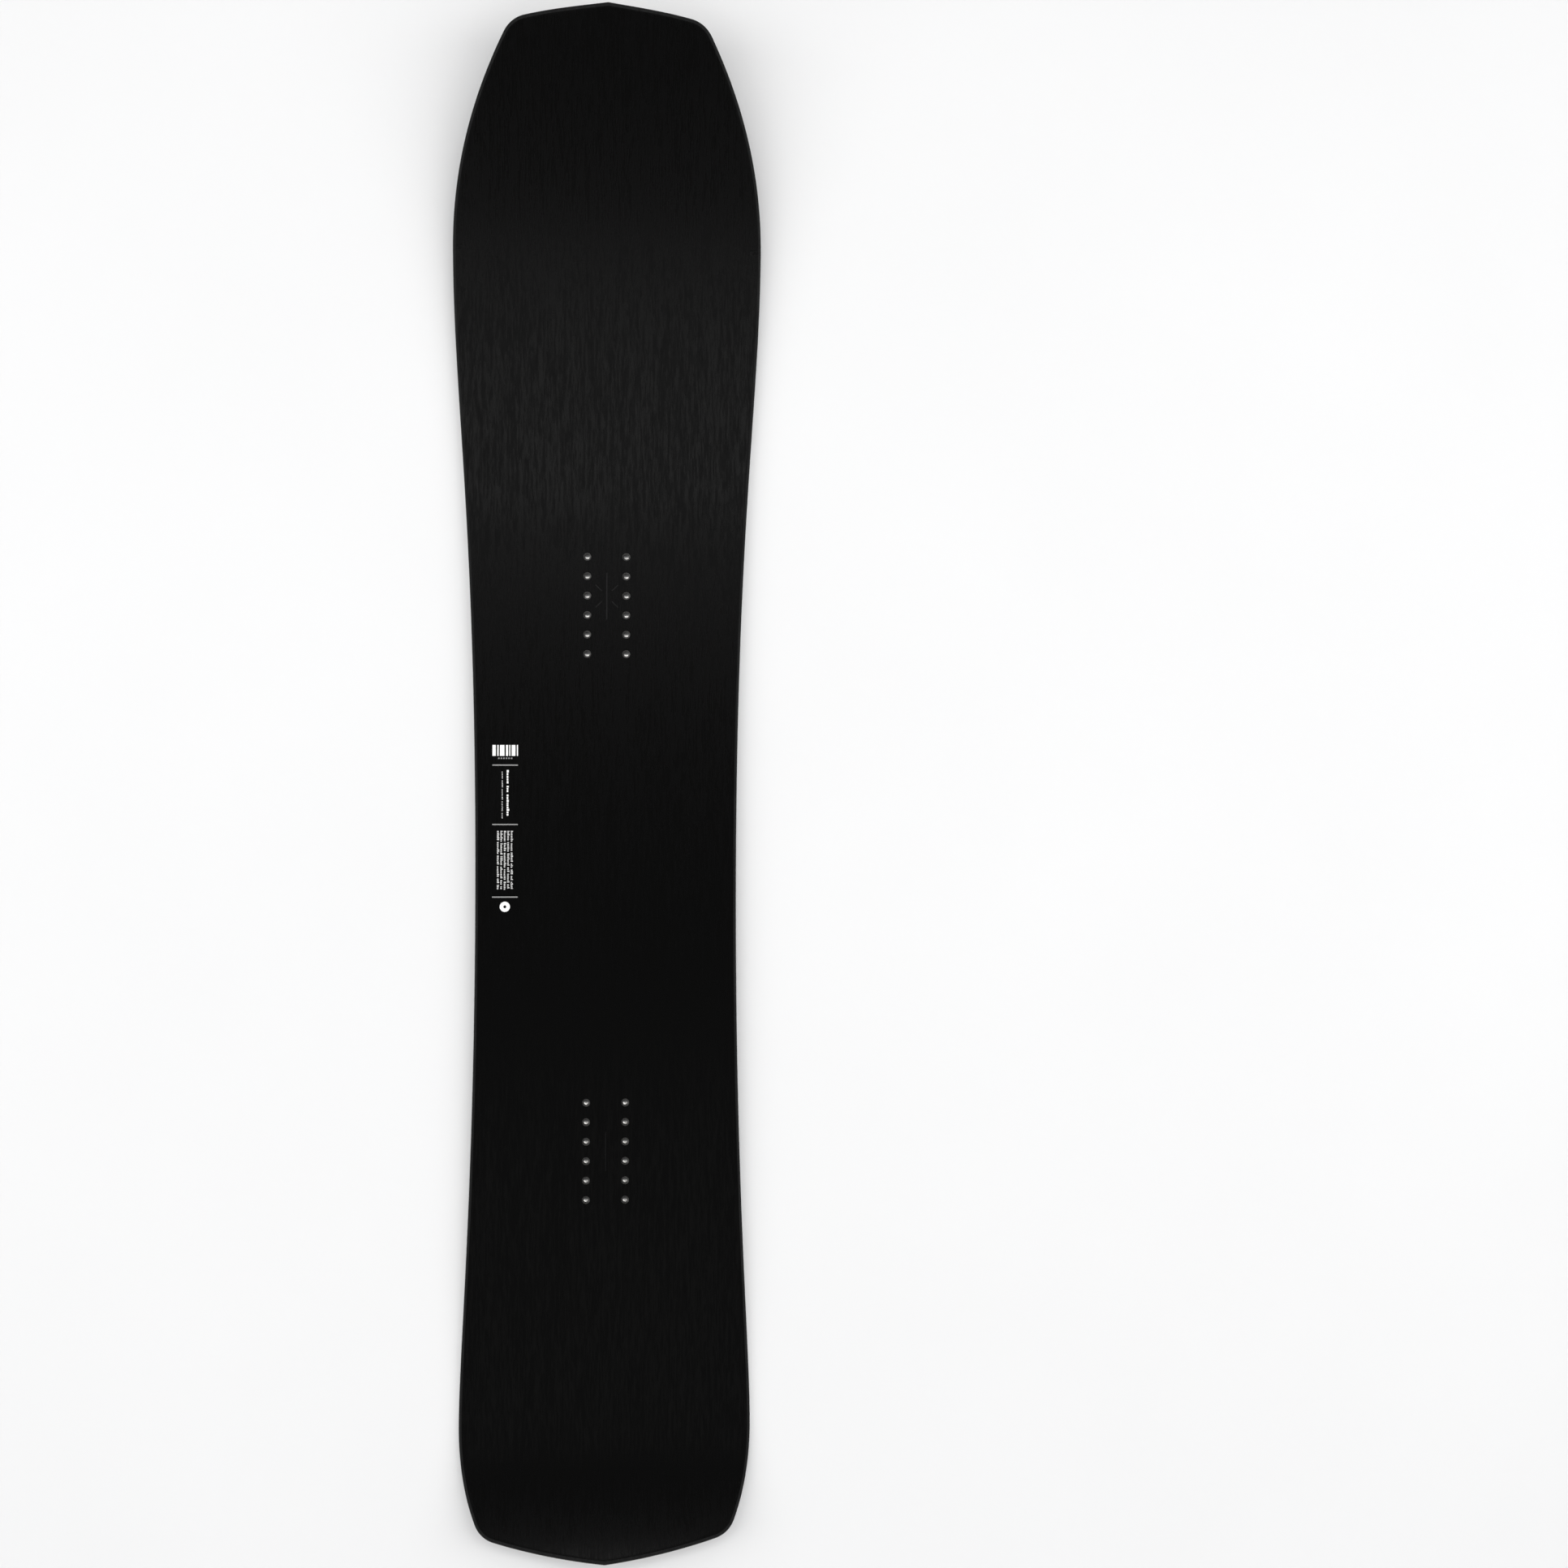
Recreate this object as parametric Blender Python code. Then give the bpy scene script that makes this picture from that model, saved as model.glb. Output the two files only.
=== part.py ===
"""Directional snowboard: running base, steel edges, wood-strip core, sidewalls, laminates and topsheet.

Metres. +X runs across the board, +Y towards the nose and +Z up. The board lies on its base.
Each layer is laid up flat, drilled, then pressed to the side profile, so the layers nest.
"""

import math
from bisect import bisect_right
from collections import namedtuple

import bmesh
import bpy
from mathutils import Matrix, Vector

MM = 0.001
GAP = 0.3 * MM
WELD = 0.001 * MM
SHARP_ANGLE = math.radians(30)
SEARCH_HALVINGS = 48

# Plan of the right-hand rail, nose to tail. Heading is in degrees: 0 outwards, 90 towards the tail.
# The pulls are the lengths of the curve's handles before and after the knot, as shares of the chord.
HALF_LENGTH = 789.4 * MM
NOSE_WIDE_Y = 551.6 * MM
NOSE_HALF_WIDTH = 157.3 * MM
WAIST_Y = -100.5 * MM
WAIST_HALF_WIDTH = 133.7 * MM
TAIL_WIDE_Y = -654.1 * MM
TAIL_HALF_WIDTH = 149.5 * MM
Knot = namedtuple("Knot", "x y heading pull_in pull_out")
RAIL = (
    Knot(0.0, HALF_LENGTH, 7.5, 0.33, 0.33),
    Knot(83.6 * MM, 776.2 * MM, 13.0, 0.33, 0.36),
    Knot(104.8 * MM, 759.9 * MM, 62.0, 0.36, 0.38),
    Knot(NOSE_HALF_WIDTH, NOSE_WIDE_Y, 90.0, 0.31, 0.24),
    Knot(WAIST_HALF_WIDTH, WAIST_Y, 90.0, 0.57, 0.56),
    Knot(TAIL_HALF_WIDTH, TAIL_WIDE_Y, 90.0, 0.15, 0.33),
    Knot(132.1 * MM, -750.6 * MM, 113.0, 0.33, 0.35),
    Knot(113.1 * MM, -767.0 * MM, 163.5, 0.35, 0.33),
    Knot(0.0, -HALF_LENGTH, 173.5, 0.33, 0.33),
)
NOSE_SHOULDER = 2
TAIL_CORNER = 6
NOSE_END_STEPS = (4, 6)
NOSE_CORNER_Y = 719.0 * MM
SHOULDER_STEPS = 3
TAIL_END_STEPS = (4, 5)

# Side profile: tail kick, camber, front rocker, nose
TAIL_CONTACT_Y = -639.0 * MM
NOSE_CONTACT_Y = 311.0 * MM
CAMBER_HEIGHT = 4.5 * MM
ROCKER_RADIUS = 2000.0 * MM
NOSE_RADIUS = 1200.0 * MM
TAIL_RADIUS = 370.0 * MM

# Threaded inserts: two packs, each of two columns and six rows
STANCE_WIDTH = 560.0 * MM
STANCE_CENTRE_Y = -90.9 * MM
PACKS = {
    "front": STANCE_CENTRE_Y + STANCE_WIDTH / 2,
    "rear": STANCE_CENTRE_Y - STANCE_WIDTH / 2,
}
COLUMN_SPACING = 40.0 * MM
ROW_PITCH = 20.0 * MM
ROWS = 6
PACK_HALF_LENGTH = 62.0 * MM
INSERT_STEPS = 12
FLANGE_RADIUS = 8.5 * MM
FLANGE_THICKNESS = 1.0 * MM
BARREL_RADIUS = 4.5 * MM
THREAD_RADIUS = 2.5 * MM
INSERT_FLOOR = 0.8 * MM
DECK_HOLE_RADIUS = 4.0 * MM

# Lay-up heights above the base, with the core at its thinnest
BASE_THICKNESS = 1.2 * MM
EDGE_HEIGHT = 1.9 * MM
EDGE_WIDTH = 2.0 * MM
EDGE_FLANGE_WIDTH = 7.0 * MM
EDGE_FLANGE_THICKNESS = 0.4 * MM
RUBBER_THICKNESS = 0.2 * MM
GLASS_THICKNESS = 0.4 * MM
CORE_TIP_THICKNESS = 2.4 * MM
CORE_THICKNESS = 6.0 * MM
TOP_GLASS_THICKNESS = 0.5 * MM
TOPSHEET_THICKNESS = 0.5 * MM
INNER_GLASS_FOOT = BASE_THICKNESS + GAP
CORE_FOOT = INNER_GLASS_FOOT + GLASS_THICKNESS + GAP
RUBBER_FOOT = EDGE_HEIGHT + GAP
RIM_GLASS_FOOT = RUBBER_FOOT + RUBBER_THICKNESS + GAP
SIDEWALL_FOOT = RIM_GLASS_FOOT + GLASS_THICKNESS + GAP
CORE_TOP = CORE_FOOT + CORE_TIP_THICKNESS
TOP_GLASS_FOOT = CORE_TOP + GAP
TOPSHEET_FOOT = TOP_GLASS_FOOT + TOP_GLASS_THICKNESS + GAP

# The core's extra thickness lifts everything from this height up
LIFT_FROM = CORE_TOP - 0.2 * MM
EXTRA_THICKNESS = CORE_THICKNESS - CORE_TIP_THICKNESS
FULL_CORE = (-440.0 * MM, 260.0 * MM)
THIN_CORE = (-640.0 * MM, 610.0 * MM)

# Insets from the rail
RIM_INSET = 0.4 * MM
RIM_WIDTH = 11.1 * MM
GLASS_STEP_INSET = RIM_WIDTH - GLASS_THICKNESS
CORE_INSET = RIM_WIDTH + GAP
SIDEWALL_TOP_INSET = 1.4 * MM
TOP_GLASS_INSET = 1.5 * MM
TOPSHEET_INSETS = (1.6 * MM, 1.9 * MM)

# Core blank
STRIP_EDGES = (10.0 * MM, 30.0 * MM, 52.0 * MM, 74.0 * MM, 96.0 * MM)
STRIP_STEPS = 2
OUTER_STRIP_STEPS = 3
NOSE_ARC_RISE = 60.0 * MM
TAIL_ARC_RISE = 45.0 * MM
CUTTER_REACH = 60.0 * MM
CUTTER_OVERLAP = 3.0 * MM

# Facets of the pressed side profile: start, end, count
SPANS = (
    (-HALF_LENGTH, TAIL_WIDE_Y, 7),
    (TAIL_WIDE_Y, TAIL_CONTACT_Y, 1),
    (TAIL_CONTACT_Y, PACKS["rear"] - PACK_HALF_LENGTH, 3),
    (PACKS["rear"] - PACK_HALF_LENGTH, PACKS["rear"] + PACK_HALF_LENGTH, 1),
    (PACKS["rear"] + PACK_HALF_LENGTH, PACKS["front"] - PACK_HALF_LENGTH, 6),
    (PACKS["front"] - PACK_HALF_LENGTH, PACKS["front"] + PACK_HALF_LENGTH, 1),
    (PACKS["front"] + PACK_HALF_LENGTH, NOSE_CONTACT_Y, 1),
    (NOSE_CONTACT_Y, NOSE_WIDE_Y, 5),
    (NOSE_WIDE_Y, HALF_LENGTH, 7),
)
STATIONS = [a + (b - a) * i / n for a, b, n in SPANS for i in range(n)] + [HALF_LENGTH]

# Colour, roughness, metallic
FINISHES = {
    "topsheet_satin_black": ((0.012, 0.012, 0.013), 0.42, 0.0),
    "glass_laminate": ((0.42, 0.44, 0.30), 0.35, 0.0),
    "poplar": ((0.62, 0.45, 0.27), 0.62, 0.0),
    "beech": ((0.47, 0.27, 0.14), 0.58, 0.0),
    "sidewall_black": ((0.014, 0.014, 0.015), 0.38, 0.0),
    "tip_spacer_black": ((0.02, 0.02, 0.021), 0.45, 0.0),
    "edge_steel": ((0.56, 0.56, 0.55), 0.28, 1.0),
    "edge_foil_rubber": ((0.016, 0.016, 0.016), 0.8, 0.0),
    "base_black": ((0.01, 0.01, 0.011), 0.3, 0.0),
    "insert_steel": ((0.5, 0.49, 0.46), 0.3, 1.0),
}


def mix(a, b, share):
    return a + (b - a) * share


def heading_vector(degrees):
    return Vector((math.cos(math.radians(degrees)), -math.sin(math.radians(degrees))))


def rail_point(travel, inset):
    """Point on the right-hand rail; travel counts knots from the nose, inset moves inwards."""
    index = min(int(travel), len(RAIL) - 2)
    a, b = RAIL[index], RAIL[index + 1]
    start, end = Vector((a.x, a.y)), Vector((b.x, b.y))
    chord = (end - start).length
    out = start + heading_vector(a.heading) * chord * a.pull_out
    back = end - heading_vector(b.heading) * chord * b.pull_in
    t = travel - index
    r = 1 - t
    point = start * r**3 + out * 3 * r * r * t + back * 3 * r * t * t + end * t**3
    tangent = (out - start) * r * r + (back - out) * 2 * r * t + (end - back) * t * t
    tangent.normalize()
    return point + Vector((tangent.y, -tangent.x)) * inset


def travel_at(inset, axis, value, low, high):
    """The travel between low and high where the inset rail reaches a value of x (0) or y (1)."""
    rising = rail_point(high, inset)[axis] > rail_point(low, inset)[axis]
    for _ in range(SEARCH_HALVINGS):
        middle = (low + high) / 2
        if (rail_point(middle, inset)[axis] < value) == rising:
            low = middle
        else:
            high = middle
    return (low + high) / 2


FLANK = sorted(
    [y for y in STATIONS if RAIL[TAIL_CORNER].y < y < NOSE_CORNER_Y]
    + [(a + b) / 2 for a, b in zip(STATIONS, STATIONS[1:]) if NOSE_WIDE_Y <= a and b < NOSE_CORNER_Y],
    reverse=True,
)


def half_outline(inset, middle=0.0):
    """Right half of the inset outline, nose to tail, from x = middle to x = middle."""
    first = travel_at(inset, 0, middle, 0.0, 1.0)
    last = travel_at(inset, 0, middle, len(RAIL) - 2.0, len(RAIL) - 1.0)
    shoulder = travel_at(inset, 1, FLANK[0], NOSE_SHOULDER, NOSE_SHOULDER + 1)
    travels = [mix(first, 1, i / NOSE_END_STEPS[0]) for i in range(NOSE_END_STEPS[0])]
    travels += [1 + i / NOSE_END_STEPS[1] for i in range(NOSE_END_STEPS[1])]
    travels += [mix(NOSE_SHOULDER, shoulder, i / SHOULDER_STEPS) for i in range(SHOULDER_STEPS)]
    travels += [travel_at(inset, 1, y, NOSE_SHOULDER, TAIL_CORNER) for y in FLANK]
    travels += [TAIL_CORNER + i / TAIL_END_STEPS[0] for i in range(TAIL_END_STEPS[0])]
    travels += [mix(TAIL_CORNER + 1, last, i / TAIL_END_STEPS[1]) for i in range(TAIL_END_STEPS[1] + 1)]
    points = [rail_point(t, inset) for t in travels]
    points[0].x = middle
    points[-1].x = middle
    return points


def outline(inset):
    right = half_outline(inset)
    return right + [Vector((-p.x, p.y)) for p in reversed(right[1:-1])]


def arc_rise(distance, radius, start_angle):
    """Height gained along an arc, and the slope angle reached."""
    angle = math.asin(math.sin(start_angle) + distance / radius)
    return radius * (math.cos(start_angle) - math.cos(angle)), angle


def base_height(y):
    """Height of the base's underside."""
    if y < TAIL_CONTACT_Y:
        return arc_rise(TAIL_CONTACT_Y - y, TAIL_RADIUS, 0.0)[0]
    if y < NOSE_CONTACT_Y:
        share = (y - TAIL_CONTACT_Y) / (NOSE_CONTACT_Y - TAIL_CONTACT_Y)
        return CAMBER_HEIGHT * (1 - math.cos(2 * math.pi * share)) / 2
    rocker, angle = arc_rise(min(y, NOSE_WIDE_Y) - NOSE_CONTACT_Y, ROCKER_RADIUS, 0.0)
    return rocker + arc_rise(max(y - NOSE_WIDE_Y, 0.0), NOSE_RADIUS, angle)[0]


def core_lift(y):
    """How much thicker the core is here than at the tips."""
    if y < FULL_CORE[0]:
        share = (y - THIN_CORE[0]) / (FULL_CORE[0] - THIN_CORE[0])
    else:
        share = (THIN_CORE[1] - y) / (THIN_CORE[1] - FULL_CORE[1])
    share = min(max(share, 0.0), 1.0)
    return EXTRA_THICKNESS * (1 - math.cos(math.pi * share)) / 2


SLOPES = [
    math.atan2(base_height(b) - base_height(a), b - a) for a, b in zip(STATIONS, STATIONS[1:])
]


def station_point(index, height):
    """A height above the base at a station, on the mitre between its two facets."""
    before = SLOPES[max(index - 1, 0)]
    after = SLOPES[min(index, len(SLOPES) - 1)]
    angle = (before + after) / 2
    reach = height / math.cos((after - before) / 2)
    y = STATIONS[index]
    return Vector((y - math.sin(angle) * reach, base_height(y) + math.cos(angle) * reach))


def facet_at(y):
    return min(max(bisect_right(STATIONS, y) - 1, 0), len(SLOPES) - 1)


def pressed(co):
    """Moves a flat lay-up point onto the side profile."""
    index = facet_at(co.y)
    share = (co.y - STATIONS[index]) / (STATIONS[index + 1] - STATIONS[index])
    lifted = co.z > LIFT_FROM
    rear = station_point(index, co.z + lifted * core_lift(STATIONS[index]))
    front = station_point(index + 1, co.z + lifted * core_lift(STATIONS[index + 1]))
    y, z = rear.lerp(front, share)
    return Vector((co.x, y, z))


def make_material(name):
    colour, roughness, metallic = FINISHES[name]
    material = bpy.data.materials.new(name)
    material.use_nodes = True
    shader = material.node_tree.nodes["Principled BSDF"]
    shader.inputs["Base Color"].default_value = (*colour, 1.0)
    shader.inputs["Roughness"].default_value = roughness
    shader.inputs["Metallic"].default_value = metallic
    material.diffuse_color = (*colour, 1.0)
    return material


def add_object(name, mesh, collection):
    obj = bpy.data.objects.new(name, mesh)
    collection.objects.link(obj)
    return obj


def mesh_of(name, bm):
    mesh = bpy.data.meshes.new(name)
    bm.to_mesh(mesh)
    bm.free()
    return mesh


def extrude_to(bm, face, points):
    """Extrudes a face so that its copy's corners land on the given points."""
    face = bmesh.ops.extrude_discrete_faces(bm, faces=[face])["faces"][0]
    for loop, point in zip(face.loops, points):
        loop.vert.co = point
    return face


def lofted(sections):
    """One closed body through a row of sections that have the same number of corners."""
    bm = bmesh.new()
    foot = [bm.verts.new(p) for p in sections[0]]
    face = bm.faces.new(foot)
    for section in sections[1:]:
        face = extrude_to(bm, face, section)
    bm.faces.new(reversed(foot))
    bmesh.ops.recalc_face_normals(bm, faces=bm.faces[:])
    return bm


def sheet(levels):
    """A sheet over the whole plan, from (inset, height) levels."""
    return lofted([[Vector((*p, height)) for p in outline(inset)] for inset, height in levels])


def rail(side, levels, ends=None):
    """A strip along one rail with an (inset, height) section, whole or between two values of y."""
    rows = [half_outline(inset, GAP / 2) for inset, _ in levels]
    heights = [height for _, height in levels]
    sections = []
    for points in zip(*rows):
        if ends and not ends[0] - WELD < points[0].y < ends[1] + WELD:
            continue
        sections.append([Vector((side * p.x, p.y, h)) for p, h in zip(points, heights)])
    if ends:
        for section, shift in ((sections[0], -GAP / 2), (sections[-1], GAP / 2)):
            for corner in section:
                corner.y += shift
    return lofted(sections)


def prism(points, foot, top):
    return lofted([[Vector((*p, z)) for p in points] for z in (foot, top)])


def arc_y(x, side):
    """End of the core blank: a circular arc from rail to rail. Side is +1 at the nose, -1 at the tail."""
    rise, joint, half_width = (
        (NOSE_ARC_RISE, NOSE_WIDE_Y, NOSE_HALF_WIDTH)
        if side > 0
        else (TAIL_ARC_RISE, TAIL_WIDE_Y, TAIL_HALF_WIDTH)
    )
    half_chord = half_width - CORE_INSET
    radius = (half_chord**2 + rise**2) / (2 * rise)
    return joint + side * (rise - radius + math.sqrt(radius**2 - min(x, half_chord) ** 2))


def spread(inner, outer, steps):
    return [mix(inner, outer, i / steps) for i in range(steps + 1)]


def core_strip(inner, outer):
    """A core strip between two distances from the centre line; outer None runs out to the rail."""
    flank = []
    if outer is None:
        flank = [p for p in half_outline(CORE_INSET) if TAIL_WIDE_Y - WELD < p.y < NOSE_WIDE_Y + WELD]
        nose_end = spread(inner, flank[0].x, OUTER_STRIP_STEPS)[:-1]
        tail_end = spread(flank[-1].x, inner, OUTER_STRIP_STEPS)[1:]
    else:
        nose_end = spread(inner, outer, STRIP_STEPS)
        tail_end = spread(outer, inner, STRIP_STEPS)
    points = [Vector((x, arc_y(x, 1))) for x in nose_end]
    points += flank
    points += [Vector((x, arc_y(x, -1))) for x in tail_end]
    return prism(points, CORE_FOOT, CORE_TOP)


def spacer_cutter(side):
    """Everything beyond the core blank and the sidewalls at one end."""
    joint, half_width = (NOSE_WIDE_Y, NOSE_HALF_WIDTH) if side > 0 else (TAIL_WIDE_Y, TAIL_HALF_WIDTH)
    half_chord = half_width - CORE_INSET
    far_x = half_width + CUTTER_REACH
    far_y = side * (HALF_LENGTH + CUTTER_REACH)
    arc = []
    for a, b in zip(STRIP_EDGES, STRIP_EDGES[1:]):
        arc += spread(a, b, STRIP_STEPS)[:-1]
    arc += spread(STRIP_EDGES[-1], half_chord, OUTER_STRIP_STEPS)
    arc = [-x for x in reversed(arc)] + [0.0] + arc
    points = [Vector((-far_x, joint + side * GAP / 2))]
    points += [Vector((x, arc_y(abs(x), side) + side * GAP)) for x in arc]
    points += [Vector((far_x, joint + side * GAP / 2)), Vector((far_x, far_y)), Vector((-far_x, far_y))]
    return prism(points, CORE_FOOT - CUTTER_OVERLAP, CORE_TOP + CUTTER_OVERLAP)


def turned(profile, steps):
    """Body of revolution about Z from (radius, height) points that start and end on the axis."""
    bm = bmesh.new()
    verts = [bm.verts.new((r, 0.0, z)) for r, z in profile]
    edges = [bm.edges.new(pair) for pair in zip(verts, verts[1:])]
    bmesh.ops.spin(
        bm,
        geom=verts + edges,
        axis=(0.0, 0.0, 1.0),
        cent=(0.0, 0.0, 0.0),
        angle=2 * math.pi,
        steps=steps,
        use_merge=True,
    )
    bmesh.ops.remove_doubles(bm, verts=bm.verts[:], dist=WELD)
    bmesh.ops.recalc_face_normals(bm, faces=bm.faces[:])
    return bm


def insert_sites():
    """Name, column side and flat position of each insert."""
    for pack, centre in PACKS.items():
        for side, column in ((-1, "left"), (1, "right")):
            for row in range(ROWS):
                x = side * COLUMN_SPACING / 2
                y = centre + ((ROWS - 1) / 2 - row) * ROW_PITCH
                yield f"insert_{pack}_{column}_{row + 1}", side, Vector((x, y, CORE_FOOT))


def drill_pattern(profile, side=None):
    """One cutter mesh with a turned drill at each insert site."""
    drills = bmesh.new()
    for _, column, site in insert_sites():
        if side in (None, column):
            drill = turned(profile, INSERT_STEPS)
            bmesh.ops.translate(drill, verts=drill.verts[:], vec=site)
            part = mesh_of("drill", drill)
            drills.from_mesh(part)
            bpy.data.meshes.remove(part)
    return drills


def cut(bm, operation, cutter, collection):
    """Applies one exact Boolean to a flat piece."""
    blank = add_object("blank", mesh_of("blank", bm), collection)
    boolean = blank.modifiers.new("cut", "BOOLEAN")
    boolean.operation = operation
    boolean.solver = "EXACT"
    boolean.object = cutter
    bpy.context.view_layer.update()
    graph = bpy.context.evaluated_depsgraph_get()
    result = bmesh.new()
    result.from_mesh(blank.evaluated_get(graph).data)
    blank_mesh = blank.data
    bpy.data.objects.remove(blank)
    bpy.data.meshes.remove(blank_mesh)
    bmesh.ops.remove_doubles(result, verts=result.verts[:], dist=WELD)
    return result


def split_at_stations(bm):
    for y in STATIONS[1:-1]:
        bmesh.ops.bisect_plane(
            bm,
            geom=bm.verts[:] + bm.edges[:] + bm.faces[:],
            dist=WELD,
            plane_co=(0.0, y, 0.0),
            plane_no=(0.0, 1.0, 0.0),
        )


def press(bm):
    bmesh.ops.triangulate(bm, faces=bm.faces[:])
    for vert in bm.verts:
        vert.co = pressed(vert.co)


def shade(bm):
    for face in bm.faces:
        face.smooth = True
    for edge in bm.edges:
        edge.smooth = edge.calc_face_angle(0.0) < SHARP_ANGLE


def main():
    for obj in list(bpy.data.objects):
        bpy.data.objects.remove(obj, do_unlink=True)
    board = bpy.data.collections.new("snowboard")
    cutters = bpy.data.collections.new("cutters")
    for collection in (board, cutters):
        bpy.context.scene.collection.children.link(collection)
    materials = {name: make_material(name) for name in FINISHES}

    def add_cutter(name, bm):
        cutter = add_object(name, mesh_of(name, bm), cutters)
        cutter.hide_render = True
        cutter.display_type = "WIRE"
        return cutter

    def add_layer(name, bm, material, operation=None, cutter=None):
        split_at_stations(bm)
        if cutter:
            bm = cut(bm, operation, cutter, cutters)
        press(bm)
        shade(bm)
        layer = add_object(name, mesh_of(name, bm), board)
        layer.data.materials.append(materials[material])
        return layer

    drill_top = CORE_TOP - CORE_FOOT + CUTTER_OVERLAP
    counterbore = (
        (0.0, -CUTTER_OVERLAP),
        (FLANGE_RADIUS + GAP, -CUTTER_OVERLAP),
        (FLANGE_RADIUS + GAP, FLANGE_THICKNESS + GAP),
        (BARREL_RADIUS + GAP, FLANGE_THICKNESS + GAP),
        (BARREL_RADIUS + GAP, drill_top),
        (0.0, drill_top),
    )
    deck_drill = (
        (0.0, CORE_TOP - CORE_FOOT),
        (DECK_HOLE_RADIUS, CORE_TOP - CORE_FOOT),
        (DECK_HOLE_RADIUS, drill_top),
        (0.0, drill_top),
    )
    deck_holes = add_cutter("deck_hole_drill", drill_pattern(deck_drill))

    base_inset = EDGE_WIDTH + GAP
    base_levels = ((base_inset, 0.0), (base_inset, BASE_THICKNESS))
    base = add_layer("base_sheet", sheet(base_levels), "base_black")
    tray = (
        (GLASS_STEP_INSET, INNER_GLASS_FOOT),
        (GLASS_STEP_INSET, RIM_GLASS_FOOT),
        (RIM_INSET, RIM_GLASS_FOOT),
        (RIM_INSET, RIM_GLASS_FOOT + GLASS_THICKNESS),
        (RIM_WIDTH, RIM_GLASS_FOOT + GLASS_THICKNESS),
        (RIM_WIDTH, INNER_GLASS_FOOT + GLASS_THICKNESS),
    )
    layers = [add_layer("bottom_glass", sheet(tray), "glass_laminate")]

    edge_section = (
        (0.0, 0.0),
        (EDGE_WIDTH, 0.0),
        (EDGE_WIDTH, EDGE_HEIGHT - EDGE_FLANGE_THICKNESS),
        (EDGE_FLANGE_WIDTH, EDGE_HEIGHT - EDGE_FLANGE_THICKNESS),
        (EDGE_FLANGE_WIDTH, EDGE_HEIGHT),
        (0.0, EDGE_HEIGHT),
    )
    rubber_width = GLASS_STEP_INSET - GAP
    rubber_section = (
        (RIM_INSET, RUBBER_FOOT),
        (rubber_width, RUBBER_FOOT),
        (rubber_width, RUBBER_FOOT + RUBBER_THICKNESS),
        (RIM_INSET, RUBBER_FOOT + RUBBER_THICKNESS),
    )
    sidewall_section = (
        (RIM_INSET, SIDEWALL_FOOT),
        (RIM_WIDTH, SIDEWALL_FOOT),
        (RIM_WIDTH, CORE_TOP),
        (SIDEWALL_TOP_INSET, CORE_TOP),
    )
    joints = (TAIL_WIDE_Y, NOSE_WIDE_Y)
    half_gap = GAP / 2
    for side, name in ((-1, "left"), (1, "right")):
        layers.append(add_layer(f"steel_edge_{name}", rail(side, edge_section), "edge_steel"))
        layers.append(add_layer(f"edge_rubber_{name}", rail(side, rubber_section), "edge_foil_rubber"))
        layers.append(add_layer(f"sidewall_{name}", rail(side, sidewall_section, joints), "sidewall_black"))

    slab = (
        (CORE_INSET, CORE_FOOT),
        (CORE_INSET, SIDEWALL_FOOT),
        (RIM_INSET, SIDEWALL_FOOT),
        (SIDEWALL_TOP_INSET, CORE_TOP),
    )
    for side, name in ((1, "tip"), (-1, "tail")):
        limit = add_cutter(f"{name}_limit", spacer_cutter(side))
        layers.append(add_layer(f"{name}_spacer", sheet(slab), "tip_spacer_black", "INTERSECT", limit))

    centre = STRIP_EDGES[0] - half_gap
    corners = []
    for side in (1, -1):
        corners += [Vector((x, arc_y(abs(x), side))) for x in (centre * side, 0.0, -centre * side)]
    layers.append(add_layer("core_strip_centre", prism(corners, CORE_FOOT, CORE_TOP), "poplar"))
    stringers = {}
    for side, name in ((-1, "left"), (1, "right")):
        drills = add_cutter(f"insert_drill_{name}", drill_pattern(counterbore, side))
        for index, inner in enumerate(STRIP_EDGES):
            outer = STRIP_EDGES[index + 1] - half_gap if index + 1 < len(STRIP_EDGES) else None
            strip = core_strip(inner + half_gap, outer)
            if side < 0:
                bmesh.ops.scale(strip, verts=strip.verts[:], vec=(-1.0, 1.0, 1.0))
                bmesh.ops.recalc_face_normals(strip, faces=strip.faces[:])
            if index:
                layers.append(add_layer(f"core_strip_{name}_{index}", strip, "poplar"))
            else:
                stringer = add_layer(f"core_stringer_{name}", strip, "beech", "DIFFERENCE", drills)
                stringers[side] = stringer
    layers += stringers.values()

    glass_levels = (
        (TOP_GLASS_INSET, TOP_GLASS_FOOT),
        (TOP_GLASS_INSET, TOP_GLASS_FOOT + TOP_GLASS_THICKNESS),
    )
    skin_levels = (
        (TOPSHEET_INSETS[0], TOPSHEET_FOOT),
        (TOPSHEET_INSETS[1], TOPSHEET_FOOT + TOPSHEET_THICKNESS),
    )
    top_glass = add_layer("top_glass", sheet(glass_levels), "glass_laminate", "DIFFERENCE", deck_holes)
    skin = sheet(skin_levels)
    topsheet = add_layer("topsheet", skin, "topsheet_satin_black", "DIFFERENCE", deck_holes)
    layers += [top_glass, topsheet]
    for layer in layers:
        layer.parent = base

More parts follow.
